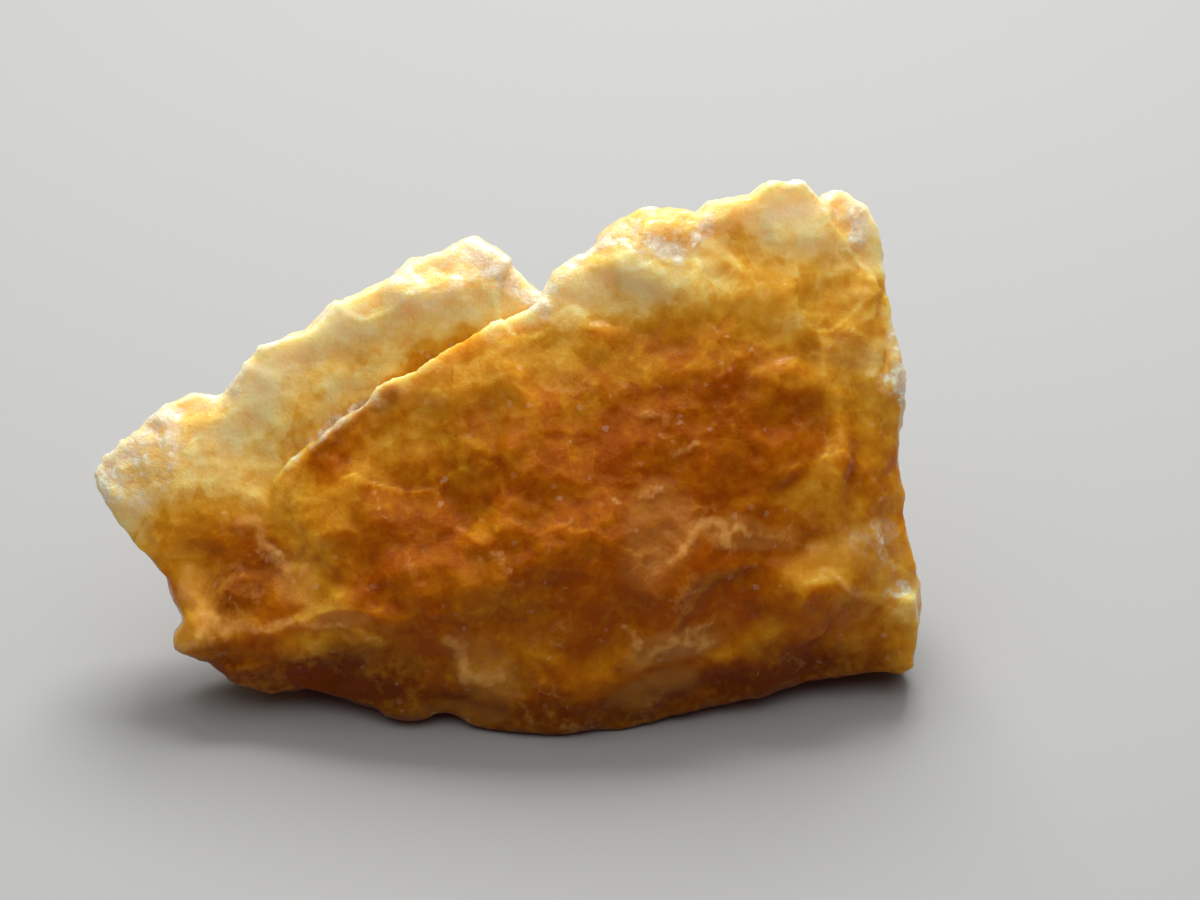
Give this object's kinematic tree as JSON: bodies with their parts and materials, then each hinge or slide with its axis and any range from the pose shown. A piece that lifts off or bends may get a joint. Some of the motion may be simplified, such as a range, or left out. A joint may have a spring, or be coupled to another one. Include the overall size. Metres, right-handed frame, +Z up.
{
  "type": "danburite specimen",
  "caption": "Rough wedge of translucent golden danburite crystal, broken on every side, thick and flat where it rests and thinning to a chipped upper edge",
  "frame": {"origin": "on the flat resting face, below the middle of the chunk's box", "axes": "+X along the chunk's length to its right-hand end, +Y from the broad leaning face to the back, +Z up from the resting face"},
  "size_m": [0.0422, 0.0164, 0.0252],
  "materials": {
    "danburite": "translucent honey-amber crystal with a waxy to vitreous broken surface, paler where it is thin"
  },
  "bodies": {
    "root": {"danburite_chunk": "danburite"}
  },
  "joints": []
}
